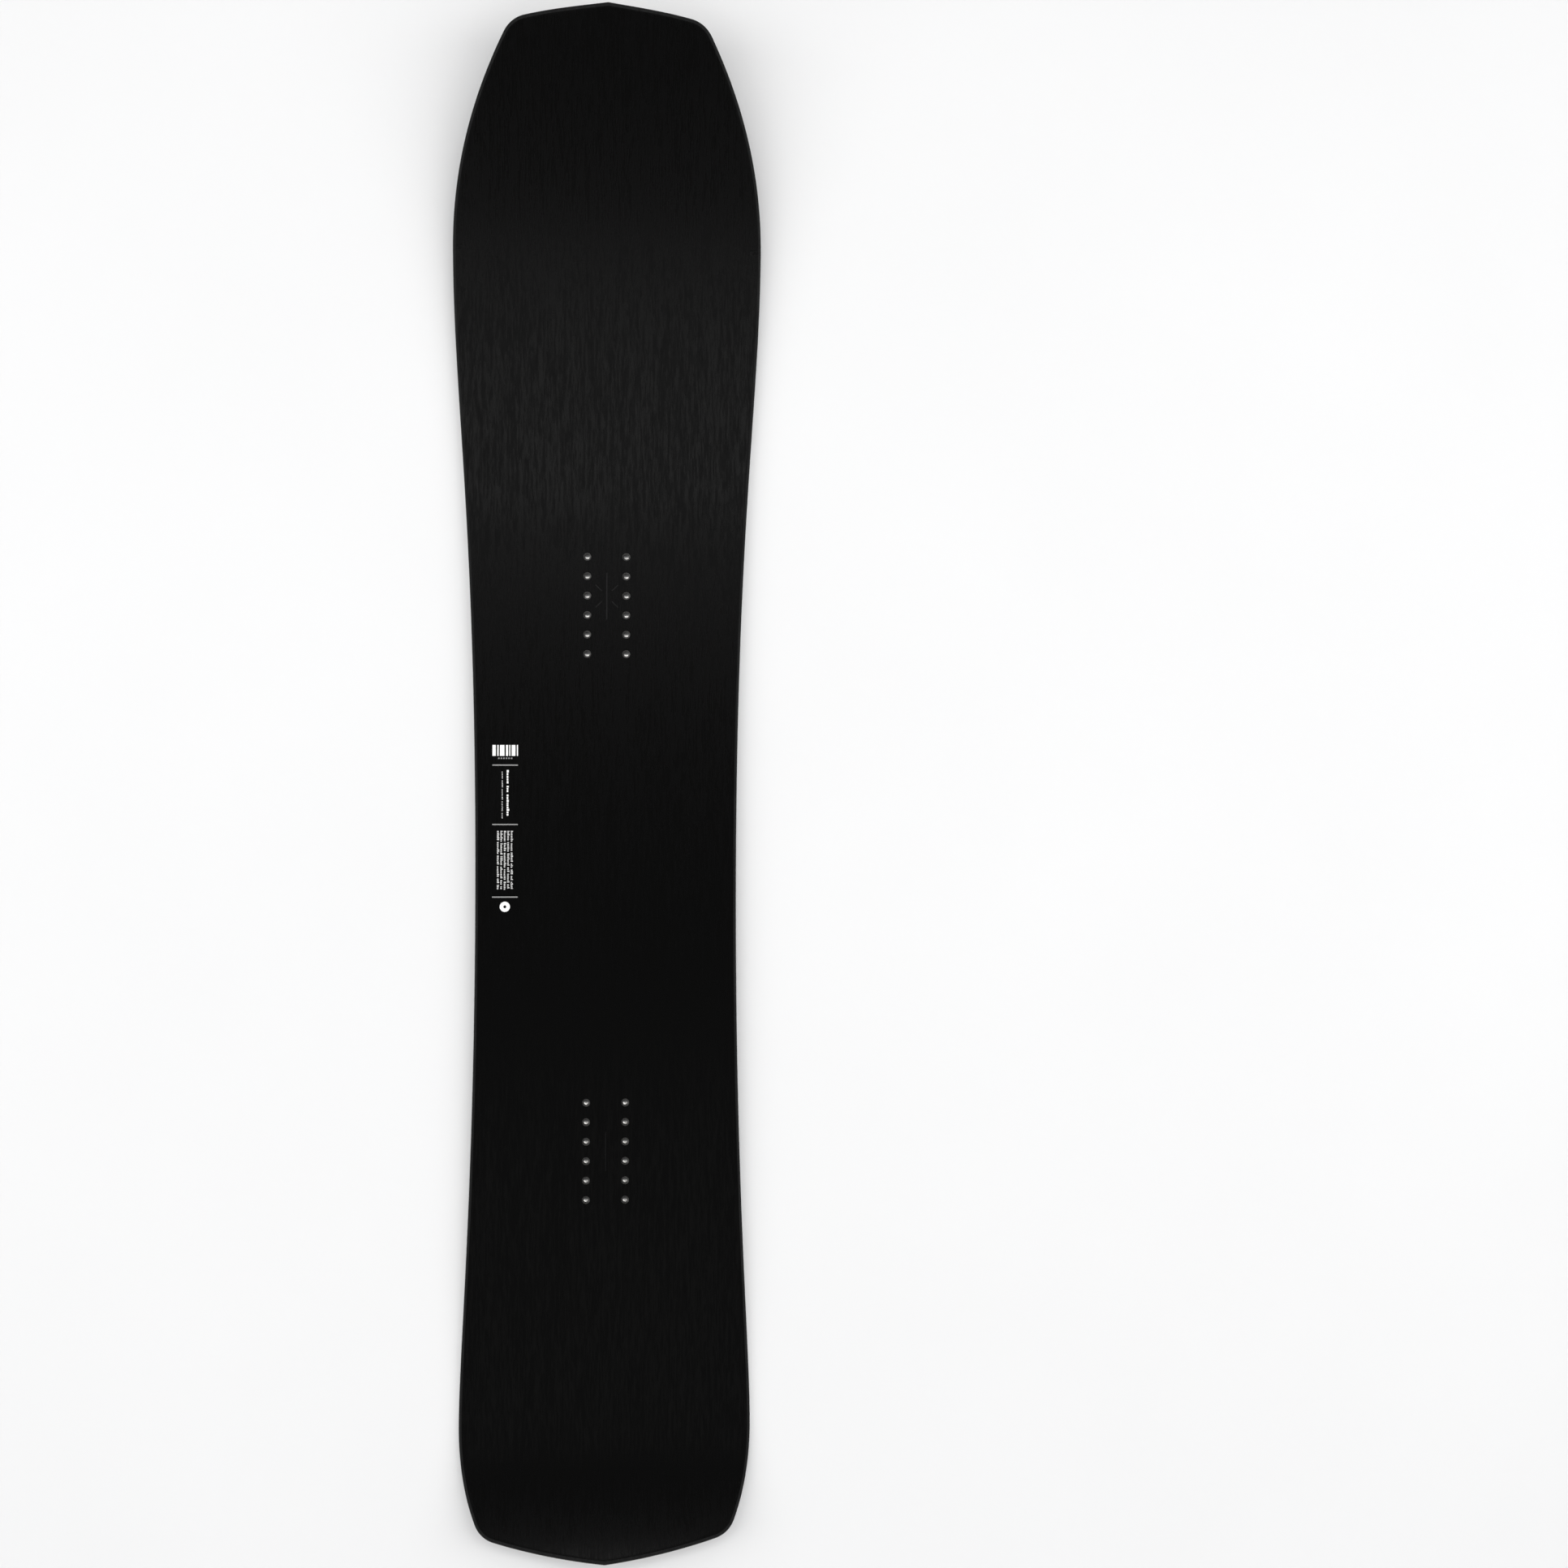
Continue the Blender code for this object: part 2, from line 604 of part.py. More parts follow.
    insert_profile = (
        (0.0, 0.0),
        (FLANGE_RADIUS, 0.0),
        (FLANGE_RADIUS, FLANGE_THICKNESS),
        (BARREL_RADIUS, FLANGE_THICKNESS),
        (BARREL_RADIUS, CORE_THICKNESS),
        (THREAD_RADIUS, CORE_THICKNESS),
        (THREAD_RADIUS, INSERT_FLOOR),
        (0.0, INSERT_FLOOR),
    )
    insert = turned(insert_profile, INSERT_STEPS)
    shade(insert)
    insert_mesh = mesh_of("insert", insert)
    insert_mesh.materials.append(materials["insert_steel"])
    for name, side, site in insert_sites():
        obj = add_object(name, insert_mesh, board)
        obj.location = pressed(site)
        obj.rotation_euler = Matrix.Rotation(SLOPES[facet_at(site.y)], 3, "X").to_euler()
        obj.parent = stringers[side]


main()
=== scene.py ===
import math
import random
from collections import namedtuple

import bmesh
import bpy
import numpy as np
from mathutils import Matrix, Vector


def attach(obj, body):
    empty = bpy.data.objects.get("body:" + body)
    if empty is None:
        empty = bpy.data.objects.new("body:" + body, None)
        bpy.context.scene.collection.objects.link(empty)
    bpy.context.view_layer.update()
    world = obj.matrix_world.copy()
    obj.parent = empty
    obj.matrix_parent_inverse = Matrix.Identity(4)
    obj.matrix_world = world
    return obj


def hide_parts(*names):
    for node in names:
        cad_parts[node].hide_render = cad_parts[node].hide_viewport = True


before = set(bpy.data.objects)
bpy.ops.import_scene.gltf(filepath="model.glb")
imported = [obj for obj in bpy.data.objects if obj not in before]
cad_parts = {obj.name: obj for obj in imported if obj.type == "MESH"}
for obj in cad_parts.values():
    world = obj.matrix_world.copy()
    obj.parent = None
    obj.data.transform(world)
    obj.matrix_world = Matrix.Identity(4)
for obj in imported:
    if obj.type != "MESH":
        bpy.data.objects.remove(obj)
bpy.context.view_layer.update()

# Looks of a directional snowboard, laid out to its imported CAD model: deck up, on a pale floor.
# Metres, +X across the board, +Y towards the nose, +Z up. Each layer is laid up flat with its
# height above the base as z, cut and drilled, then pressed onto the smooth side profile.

MM = 0.001
WELD = 0.0005 * MM
SMOOTH_ANGLE = math.radians(28)

# ---------------------------------------------------------------- outline and profile, as in CAD
HALF_LENGTH = 789.4 * MM
NOSE_WIDE_Y, NOSE_HALF_WIDTH = 551.6 * MM, 157.3 * MM
TAIL_WIDE_Y, TAIL_HALF_WIDTH = -654.1 * MM, 149.5 * MM
Knot = namedtuple("Knot", "x y heading pull_in pull_out steps")
RAIL = (
    Knot(0.0, HALF_LENGTH, 7.5, 0.33, 0.33, 12),
    Knot(83.6 * MM, 776.2 * MM, 13.0, 0.33, 0.36, 14),
    Knot(104.8 * MM, 759.9 * MM, 62.0, 0.36, 0.38, 26),
    Knot(NOSE_HALF_WIDTH, NOSE_WIDE_Y, 90.0, 0.31, 0.24, 44),
    Knot(133.7 * MM, -100.5 * MM, 90.0, 0.57, 0.56, 40),
    Knot(TAIL_HALF_WIDTH, TAIL_WIDE_Y, 90.0, 0.15, 0.33, 16),
    Knot(132.1 * MM, -750.6 * MM, 113.0, 0.33, 0.35, 12),
    Knot(113.1 * MM, -767.0 * MM, 163.5, 0.35, 0.33, 12),
    Knot(0.0, -HALF_LENGTH, 173.5, 0.33, 0.33, 0),
)
LAST = len(RAIL) - 1
FLANK_KNOTS = (2, 6)
SEARCH_HALVINGS = 44
TAIL_CONTACT_Y, NOSE_CONTACT_Y = -639.0 * MM, 311.0 * MM
CAMBER_HEIGHT = 4.5 * MM
ROCKER_RADIUS, NOSE_RADIUS, TAIL_RADIUS = 2000.0 * MM, 1200.0 * MM, 370.0 * MM
LIFT_FROM = 4.4 * MM
EXTRA_CORE = 3.6 * MM
FULL_CORE = (-440.0 * MM, 260.0 * MM)
THIN_CORE = (-640.0 * MM, 610.0 * MM)
CORE_INSET = 11.4 * MM
End = namedtuple("End", "joint_y half_width arc_rise")
ENDS = {
    1: End(NOSE_WIDE_Y, NOSE_HALF_WIDTH, 60.0 * MM),
    -1: End(TAIL_WIDE_Y, TAIL_HALF_WIDTH, 45.0 * MM),
}
CORE_FOOT = 2.2 * MM
PACKS = {"front": 189.1 * MM, "rear": -370.9 * MM}
COLUMN_X = 20.0 * MM
ROW_PITCH, ROWS = 20.0 * MM, 6
HOLE_RADIUS = 4.0 * MM

# ---------------------------------------------------------------- bonded stack
# Sections are (inset from the outline, height above the base) in mm, where the core is thin.
STATION_STEP = 7.0 * MM
FLANK_STEPS = 170
BASE_LEVELS = [(2.45, 0.02), (2.32, 0.1), (2.28, 0.25), (2.28, 1.48)]
EDGE_SECTION = [
    (0.12, 0.0), (2.0, 0.0), (2.0, 1.5), (7.0, 1.5), (7.0, 1.9),
    (0.14, 1.9), (0.03, 1.8), (0.0, 1.6), (0.0, 0.12),
]
RUBBER_SECTION = [(0.2, 1.92), (10.3, 1.92), (10.3, 2.3), (0.2, 2.3)]
TRAY_LEVELS = [(10.6, 1.52), (10.6, 2.32), (0.24, 2.32), (0.24, 2.95), (11.1, 2.95), (11.1, 1.95)]
SIDEWALL_SECTION = [(0.16, 2.97), (11.1, 2.97), (11.1, 4.74), (1.2, 4.74), (0.85, 4.2), (0.3, 3.3)]
SLAB_LEVELS = [(11.4, 2.22), (11.4, 2.97), (0.16, 2.97), (0.3, 3.3), (0.85, 4.2), (1.2, 4.74)]
TOP_GLASS_LEVELS = [(1.62, 4.76), (1.66, 5.44)]
TOPSHEET_LEVELS = [
    (1.4, 5.46), (1.46, 5.66), (1.66, 5.82), (2.2, 5.97), (3.1, 6.1), (4.0, 6.17), (5.4, 6.2),
]
DECK_TOP = 6.2 * MM
RIM_SLOPE = math.radians(6)
SEAM = 0.06 * MM


def mix(a, b, share):
    return a + (b - a) * share


def heading_vector(degrees):
    return Vector((math.cos(math.radians(degrees)), -math.sin(math.radians(degrees))))


def rail_point(travel, inset):
    """Point on the right-hand rail; travel counts knots from the nose, inset moves inwards."""
    index = min(int(travel), LAST - 1)
    a, b = RAIL[index], RAIL[index + 1]
    start, end = Vector((a.x, a.y)), Vector((b.x, b.y))
    chord = (end - start).length
    out = start + heading_vector(a.heading) * chord * a.pull_out
    back = end - heading_vector(b.heading) * chord * b.pull_in
    t = travel - index
    r = 1 - t
    point = start * r**3 + out * 3 * r * r * t + back * 3 * r * t * t + end * t**3
    tangent = (out - start) * r * r + (back - out) * 2 * r * t + (end - back) * t * t
    tangent.normalize()
    return point + Vector((tangent.y, -tangent.x)) * inset


def travel_at(inset, axis, value, low, high):
    rising = rail_point(high, inset)[axis] > rail_point(low, inset)[axis]
    for _ in range(SEARCH_HALVINGS):
        middle = (low + high) / 2
        if (rail_point(middle, inset)[axis] < value) == rising:
            low = middle
        else:
            high = middle
    return (low + high) / 2


def half_outline(inset, middle=0.0):
    """Right half of the inset outline, nose to tail, from x = middle to x = middle."""
    first = travel_at(inset, 0, middle, 0.0, 1.0)
    last = travel_at(inset, 0, middle, LAST - 1.0, LAST)
    travels = []
    for index, knot in enumerate(RAIL[:-1]):
        low = first if index == 0 else index
        high = last if index == LAST - 1 else index + 1
        travels += [mix(low, high, i / knot.steps) for i in range(knot.steps)]
    points = [rail_point(t, inset) for t in travels + [last]]
    points[0].x = points[-1].x = middle
    return points


def flank(inset, nose_y, tail_y):
    """Points of the inset rail between two values of y, nose end first."""
    low = travel_at(inset, 1, nose_y, *FLANK_KNOTS)
    high = travel_at(inset, 1, tail_y, *FLANK_KNOTS)
    return [rail_point(mix(low, high, i / FLANK_STEPS), inset) for i in range(FLANK_STEPS + 1)]


def outline(inset):
    right = half_outline(inset)
    return right + [Vector((-p.x, p.y)) for p in reversed(right[1:-1])]


def profile(y):
    """Height and slope angle of the base's underside, for an array of y."""
    tail = np.arcsin(np.clip((TAIL_CONTACT_Y - y) / TAIL_RADIUS, 0, 1))
    height = TAIL_RADIUS * (1 - np.cos(tail))
    angle = -tail
    share = np.clip((y - TAIL_CONTACT_Y) / (NOSE_CONTACT_Y - TAIL_CONTACT_Y), 0, 1)
    height = height + CAMBER_HEIGHT * (1 - np.cos(2 * np.pi * share)) / 2
    angle = angle + np.arctan(
        CAMBER_HEIGHT * np.pi / (NOSE_CONTACT_Y - TAIL_CONTACT_Y) * np.sin(2 * np.pi * share)
    )
    rocker = np.arcsin((np.clip(y, NOSE_CONTACT_Y, NOSE_WIDE_Y) - NOSE_CONTACT_Y) / ROCKER_RADIUS)
    height = height + ROCKER_RADIUS * (1 - np.cos(rocker))
    nose = np.arcsin(np.sin(rocker) + np.clip(y - NOSE_WIDE_Y, 0, None) / NOSE_RADIUS)
    height = height + NOSE_RADIUS * (np.cos(rocker) - np.cos(nose))
    return height, np.where(y > NOSE_CONTACT_Y, nose, angle)


def core_lift(y):
    rear = (y - THIN_CORE[0]) / (FULL_CORE[0] - THIN_CORE[0])
    front = (THIN_CORE[1] - y) / (THIN_CORE[1] - FULL_CORE[1])
    share = np.clip(np.minimum(rear, front), 0, 1)
    return EXTRA_CORE * (1 - np.cos(np.pi * share)) / 2


def pressed(co):
    """Flat lay-up points, as rows of x, y and height, moved onto the side profile."""
    co = np.array(co, float).reshape(-1, 3)
    reach = co[:, 2] + (co[:, 2] > LIFT_FROM) * core_lift(co[:, 1])
    height, angle = profile(co[:, 1])
    y, z = co[:, 1] - reach * np.sin(angle), height + reach * np.cos(angle)
    return np.stack([co[:, 0], y, z], axis=1)


# ---------------------------------------------------------------- modelling
def extrude_to(bm, face, points):
    face = bmesh.ops.extrude_discrete_faces(bm, faces=[face])["faces"][0]
    for loop, point in zip(face.loops, points):
        loop.vert.co = point
    return face


def lofted(sections):
    """One closed body through a row of sections that have the same number of corners."""
    bm = bmesh.new()
    foot = [bm.verts.new(p) for p in sections[0]]
    face = bm.faces.new(foot)
    for section in sections[1:]:
        face = extrude_to(bm, face, section)
    bm.faces.new(reversed(foot))
    bmesh.ops.recalc_face_normals(bm, faces=bm.faces[:])
    return bm


def sheet(levels):
    return lofted([[Vector((*p, n * MM)) for p in outline(u * MM)] for u, n in levels])


def rail(side, levels, ends=None):
    """A strip along one rail with an (inset, height) section, whole or between two values of y."""
    if ends:
        rows = [flank(u * MM, *ends) for u, _ in levels]
    else:
        rows = [half_outline(u * MM, SEAM / 2) for u, _ in levels]
    sections = [
        [Vector((side * p.x, p.y, n * MM)) for p, (_, n) in zip(points, levels)]
        for points in zip(*rows)
    ]
    return lofted(sections)


def new_object(name, bm):
    mesh = bpy.data.meshes.new(name)
    bm.to_mesh(mesh)
    bm.free()
    obj = bpy.data.objects.new(name, mesh)
    bpy.context.scene.collection.objects.link(obj)
    return obj


def cut(bm, operation, cutter_bm):
    """One exact Boolean on a flat piece."""
    blank, cutter = new_object("blank", bm), new_object("cutter", cutter_bm)
    boolean = blank.modifiers.new("cut", "BOOLEAN")
    boolean.operation = operation
    boolean.solver = "EXACT"
    boolean.object = cutter
    bpy.context.view_layer.update()
    result = bmesh.new()
    result.from_mesh(blank.evaluated_get(bpy.context.evaluated_depsgraph_get()).data)
    for obj in (blank, cutter):
        mesh = obj.data
        bpy.data.objects.remove(obj)
        bpy.data.meshes.remove(mesh)
    bmesh.ops.remove_doubles(result, verts=result.verts[:], dist=WELD)
    return result


def split_lengthwise(bm, step=STATION_STEP):
    ys = [v.co.y for v in bm.verts]
    low, high = min(ys), max(ys)
    count = int((high - low) / step)
    for i in range(1, count):
        bmesh.ops.bisect_plane(
            bm,
            geom=bm.verts[:] + bm.edges[:] + bm.faces[:],
            dist=WELD,
            plane_co=(0, mix(low, high, i / count), 0),
            plane_no=(0, 1, 0),
        )


def press(bm):
    bmesh.ops.triangulate(bm, faces=[f for f in bm.faces if len(f.verts) > 4])
    bm.verts.ensure_lookup_table()
    for vert, co in zip(bm.verts, pressed([v.co for v in bm.verts])):
        vert.co = co


def shade(bm, angle=SMOOTH_ANGLE):
    for face in bm.faces:
        face.smooth = True
    for edge in bm.edges:
        edge.smooth = edge.calc_face_angle(0.0) < angle


def turned(points, steps):
    """Body of revolution about Z from (radius, height) points."""
    bm = bmesh.new()
    verts = [bm.verts.new((r, 0.0, z)) for r, z in points]
    edges = [bm.edges.new(pair) for pair in zip(verts, verts[1:])]
    bmesh.ops.spin(
        bm, geom=verts + edges, axis=(0, 0, 1), cent=(0, 0, 0),
        angle=2 * math.pi, steps=steps, use_merge=True,
    )
    bmesh.ops.remove_doubles(bm, verts=bm.verts[:], dist=WELD)
    bmesh.ops.recalc_face_normals(bm, faces=bm.faces[:])
    return bm


def insert_sites():
    for pack, centre in PACKS.items():
        for side, column in ((-1, "left"), (1, "right")):
            for row in range(ROWS):
                y = centre + ((ROWS - 1) / 2 - row) * ROW_PITCH
                yield f"insert_{pack}_{column}_{row + 1}", side * COLUMN_X, y


def drills(points, steps):
    """A turned drill at each insert site, as one mesh."""
    merged = bmesh.new()
    for _, x, y in insert_sites():
        drill = turned(points, steps)
        bmesh.ops.translate(drill, verts=drill.verts[:], vec=(x, y, 0))
        part = bpy.data.meshes.new("drill")
        drill.to_mesh(part)
        drill.free()
        merged.from_mesh(part)
        bpy.data.meshes.remove(part)
    return merged


ARC_STEPS = 40
ARC_GLUE_LINE = 0.4 * MM
CUTTER_REACH = 60.0 * MM
CUTTER_HEIGHTS = (-10.0 * MM, 20.0 * MM)


def spacer_cutter(side):
    """Everything beyond the round-ended core blank and the sidewalls at one end."""
    end = ENDS[side]
    half_chord = end.half_width - CORE_INSET
    radius = (half_chord**2 + end.arc_rise**2) / (2 * end.arc_rise)
    arc = []
    for i in range(ARC_STEPS + 1):
        x = mix(-half_chord, half_chord, i / ARC_STEPS)
        reach = end.arc_rise - radius + math.sqrt(radius**2 - x**2)
        arc.append((x, end.joint_y + side * (reach + ARC_GLUE_LINE)))
    far_x, far_y = end.half_width + CUTTER_REACH, side * (HALF_LENGTH + CUTTER_REACH)
    near_y = end.joint_y + side * SEAM / 2
    points = [(-far_x, near_y), *arc, (far_x, near_y), (far_x, far_y), (-far_x, far_y)]
    return lofted([[Vector((x, y, z)) for x, y in points] for z in CUTTER_HEIGHTS])


# ---------------------------------------------------------------- materials
class Material:
    """A Principled material with short calls for its nodes."""

    def __init__(self, name, roughness=0.5, metallic=0.0):
        self.material = bpy.data.materials.new(name)
        self.material.use_nodes = True
        self.nodes = self.material.node_tree.nodes
        self.links = self.material.node_tree.links
        self.shader = self.nodes["Principled BSDF"]
        self.set(self.shader, "Roughness", roughness)
        self.set(self.shader, "Metallic", metallic)
        self.coords = self.nodes.new("ShaderNodeTexCoord").outputs["Object"]

    def set(self, node, socket, value):
        target = node.inputs[socket]
        if isinstance(value, bpy.types.NodeSocket):
            self.links.new(value, target)
        else:
            target.default_value = value

    def add(self, kind, inputs=None, **settings):
        node = self.nodes.new("ShaderNode" + kind)
        for key, value in settings.items():
            setattr(node, key, value)
        for socket, value in (inputs or {}).items():
            self.set(node, socket, value)
        return node

    def mapped(self, scale, rotation=(0, 0, 0), source=None):
        inputs = {"Vector": source or self.coords, "Scale": scale, "Rotation": rotation}
        return self.add("Mapping", inputs).outputs[0]

    def noise(
        self, scale, size=1.0, detail=3.0, roughness=0.55, distortion=0.0, rotation=(0, 0, 0)
    ):
        """Noise whose cells are stretched by the mapping scale."""
        inputs = {
            "Vector": self.mapped(scale, rotation),
            "Scale": size,
            "Detail": detail,
            "Roughness": roughness,
            "Distortion": distortion,
        }
        return self.add("TexNoise", inputs).outputs[0]

    def math(self, operation, a, b=0.0, c=0.0):
        return self.add("Math", {0: a, 1: b, 2: c}, operation=operation).outputs[0]

    def ranged(self, value, low, high, to_low=0.0, to_high=1.0, kind="SMOOTHSTEP"):
        inputs = {
            "Value": value, "From Min": low, "From Max": high, "To Min": to_low, "To Max": to_high,
        }
        return self.add("MapRange", inputs, interpolation_type=kind).outputs[0]

    def blend(self, factor, a, b):
        node = self.add("Mix", data_type="RGBA")
        self.set(node, 0, factor)
        self.set(node, 6, a)
        self.set(node, 7, b)
        return node.outputs[2]

    def bump(self, height, distance, strength=1.0, normal=None):
        inputs = {"Height": height, "Distance": distance, "Strength": strength}
        if normal:
            inputs["Normal"] = normal
        return self.add("Bump", inputs).outputs[0]

    def finish(self, colour, roughness=None, normal=None, specular=None):
        self.set(self.shader, "Base Color", colour)
        if roughness is not None:
            self.set(self.shader, "Roughness", roughness)
        if normal is not None:
            self.set(self.shader, "Normal", normal)
        if specular is not None:
            self.set(self.shader, "Specular IOR Level", specular)
        return self.material


def grey(value, tint=(1.0, 1.0, 1.0)):
    return (value * tint[0], value * tint[1], value * tint[2], 1.0)


# The film sinks in over the joint between sidewall and nose spacer; a lighter band along the nose
# side of the dip is a painted highlight.
SINK_Y = NOSE_WIDE_Y + 0.3 * MM
SINK_HALF_WIDTH, SINK_DEPTH = 2.6 * MM, 0.3 * MM
SINK_REACH = (146.0 * MM, 148.0 * MM)


def topsheet_material():
    """Satin black lacquer over a fine lengthwise wood texture; the gloss follows the grain."""
    m = Material("topsheet_satin_black_grain")
    fine = m.noise((640, 66, 50), detail=3.0, roughness=0.6, distortion=0.1)
    broad = m.noise((290, 22, 20), detail=3.0, roughness=0.55, distortion=0.3)
    figure = m.noise((30, 1.8, 2), detail=4.0, roughness=0.5, distortion=0.6)
    pores = m.ranged(m.noise((1300, 110, 80), detail=2.0, roughness=0.5), 0.58, 0.72)
    grain = m.math("ADD", m.math("MULTIPLY", fine, 0.5), m.math("MULTIPLY", broad, 0.38))
    grain = m.math("ADD", grain, m.math("MULTIPLY", figure, 0.12))
    gloss = m.ranged(grain, 0.41, 0.61)
    gloss = m.math("SUBTRACT", gloss, m.math("MULTIPLY", pores, 0.45))
    colour = m.blend(gloss, grey(0.0001), grey(0.0013, (1.0, 0.99, 0.93)))
    roughness = m.ranged(gloss, -0.4, 1.0, 0.41, 0.2, "LINEAR")
    height = m.math("ADD", fine, m.math("MULTIPLY", pores, -0.5))
    xyz = m.add("SeparateXYZ", {0: m.coords})
    across = m.math("ABSOLUTE", xyz.outputs[0])
    at_rim = m.ranged(across, *SINK_REACH)
    away = m.math("ABSOLUTE", m.math("SUBTRACT", xyz.outputs[1], SINK_Y))
    sink = m.math("MULTIPLY", m.ranged(away, 0.0, SINK_HALF_WIDTH, -1.0, 0.0), at_rim)
    from_lip = m.math("ABSOLUTE", m.math("SUBTRACT", xyz.outputs[1], SINK_Y + SINK_HALF_WIDTH / 2))
    # Painted highlight: a lighter band along the nose side of the sunken joint, at the rim.
    painted_highlight_band = m.math("MULTIPLY", m.ranged(from_lip, 0.0, SINK_HALF_WIDTH / 2, 1.0, 0.0), at_rim)
    colour = m.blend(painted_highlight_band, colour, grey(0.006))
    normal = m.bump(height, 0.05 * MM, 0.6)
    normal = m.bump(sink, SINK_DEPTH, 1.0, normal)
    return m.finish(colour, roughness, normal, 0.06)


def topsheet_rim_material():
    """The sanded bevel round the topsheet: matt film with the gloss taken off."""
    m = Material("topsheet_rim_sanded")
    sanding = m.noise((700, 240, 700), detail=3.0)
    grain = m.noise((500, 30, 400), detail=3.0)
    colour = m.blend(m.ranged(grain, 0.35, 0.65), grey(0.0075), grey(0.0115))
    roughness = m.ranged(sanding, 0.3, 0.7, 0.55, 0.7)
    return m.finish(colour, roughness, m.bump(sanding, 0.02 * MM, 0.6), 0.065)


def sidewall_material(name, value):
    """Planed and sanded ABS, matt, with lengthwise tool marks and a few pale scuffs."""
    m = Material(name)
    planed = m.noise((2600, 22, 2600), detail=3.0)
    smudge = m.noise((40, 12, 40), detail=3.0)
    scuffs = m.ranged(m.noise((700, 90, 900), detail=5.0, roughness=0.7), 0.66, 0.72)
    colour = m.blend(m.ranged(smudge, 0.3, 0.75), grey(value), grey(value * 1.9))
    colour = m.blend(m.math("MULTIPLY", scuffs, 0.4), colour, grey(value * 5))
    roughness = m.ranged(planed, 0.3, 0.75, 0.62, 0.82)
    return m.finish(colour, roughness, m.bump(planed, 0.03 * MM, 0.6), 0.12)


def edge_material():
    m = Material("edge_ground_steel", metallic=1.0)
    grind = m.noise((1800, 260, 3000), detail=4.0, roughness=0.65, rotation=(0, 0, 0.12))
    stain = m.noise((55, 30, 200), detail=4.0, roughness=0.6)
    clean, oxidised = grey(0.46, (1.0, 0.995, 0.98)), grey(0.3, (1.0, 0.96, 0.9))
    colour = m.blend(m.ranged(stain, 0.4, 0.72), clean, oxidised)
    scratched, dulled = m.ranged(grind, 0.3, 0.7, 0.2, 0.38), m.ranged(stain, 0.5, 0.8, 0.0, 0.12)
    roughness = m.math("ADD", scratched, dulled)
    return m.finish(colour, roughness, m.bump(grind, 0.02 * MM, 0.5))


def base_material():
    """Black sintered base with a stone-ground linear structure and a soft cross-hatch."""
    m = Material("base_sintered_black")
    grooves = m.noise((1400, 16, 20), detail=3.0, roughness=0.55)
    hatch = m.noise((900, 40, 60), detail=2.0, rotation=(0, 0, 0.2))
    granule = m.add("TexVoronoi", {"Vector": m.mapped((2400, 2400, 2400)), "Scale": 1.0}).outputs[0]
    wax = m.noise((14, 3, 14), detail=4.0, roughness=0.6)
    lines = m.math("ADD", m.math("MULTIPLY", grooves, 0.7), m.math("MULTIPLY", hatch, 0.3))
    colour = m.blend(m.ranged(granule, 0.1, 0.8), grey(0.0008), grey(0.0024))
    colour = m.blend(m.math("MULTIPLY", m.ranged(wax, 0.45, 0.8), 0.35), colour, grey(0.004))
    ground, waxed = m.ranged(lines, 0.38, 0.62, 0.3, 0.14), m.ranged(wax, 0.35, 0.75, 0.0, 0.07)
    roughness = m.math("ADD", ground, waxed)
    return m.finish(colour, roughness, m.bump(lines, 0.05 * MM, 0.8), 0.2)


def insert_material(name, bright, dull, smooth, rough, painted_shade_grey=None):
    """Machined steel; the optional grey is painted shade that darkens the nose side of the bore."""
    m = Material(name, metallic=1.0)
    swirl = m.noise((1400, 1400, 3500), detail=3.0)
    tint = m.noise((260, 260, 260), detail=3.0)
    clean, oxidised = grey(bright, (1.0, 0.985, 0.96)), grey(dull, (1.0, 0.97, 0.92))
    colour = m.blend(m.ranged(tint, 0.35, 0.7), clean, oxidised)
    if painted_shade_grey:
        noseward = m.add("SeparateXYZ", {0: m.coords}).outputs[1]
        # Painted shade: the nose side of the bore, which the light from the nose leaves in shadow,
        # is blended to this grey.
        colour = m.blend(m.ranged(noseward, -1.5 * MM, 0.5 * MM), colour, grey(painted_shade_grey))
    roughness = m.ranged(swirl, 0.3, 0.7, smooth, rough)
    return m.finish(colour, roughness, m.bump(swirl, 0.015 * MM, 0.5))


def glass_material():
    """Epoxy-wetted biaxial glass cloth: fibre bundles at plus and minus 45 degrees."""
    m = Material("glass_laminate_weave", roughness=0.3)
    bands = []
    for angle in (math.pi / 4, -math.pi / 4):
        wave = m.add(
            "TexWave",
            {
                "Vector": m.mapped((1, 1, 1), (0, 0, angle)),
                "Scale": 290.0,
                "Distortion": 1.2,
                "Detail": 3.0,
            },
            bands_direction="X",
        )
        bands.append(wave.outputs[1])
    weave = m.math("MULTIPLY", m.math("ADD", bands[0], bands[1]), 0.5)
    cloud = m.noise((30, 18, 30), detail=3.0)
    colour = m.blend(weave, (0.035, 0.036, 0.022, 1), (0.07, 0.07, 0.046, 1))
    colour = m.blend(m.ranged(cloud, 0.4, 0.8, 0.0, 0.35), colour, (0.06, 0.054, 0.03, 1))
    return m.finish(colour, m.ranged(weave, 0.0, 1.0, 0.22, 0.4), m.bump(weave, 0.08 * MM, 0.6))


def wood_material(name, pale, dark, pore):
    m = Material(name)
    rings = m.noise((150, 3.2, 220), detail=4.0, roughness=0.55, distortion=0.9)
    fibre = m.noise((1600, 26, 1600), detail=4.0, roughness=0.6)
    specks = m.ranged(m.noise((2400, 130, 2400), detail=2.0), 0.62, 0.7)
    tone = m.add("ObjectInfo").outputs["Random"]
    banding = m.math("MULTIPLY", m.ranged(rings, 0.3, 0.7), 0.65)
    share = m.math("ADD", banding, m.math("MULTIPLY", fibre, 0.3))
    colour = m.blend(m.math("ADD", share, m.math("MULTIPLY", tone, 0.15)), pale, dark)
    colour = m.blend(m.math("MULTIPLY", specks, 0.6), colour, pore)
    height = m.math("SUBTRACT", fibre, m.math("MULTIPLY", specks, 0.6))
    return m.finish(colour, m.ranged(fibre, 0.3, 0.7, 0.48, 0.66), m.bump(height, 0.08 * MM, 0.6))


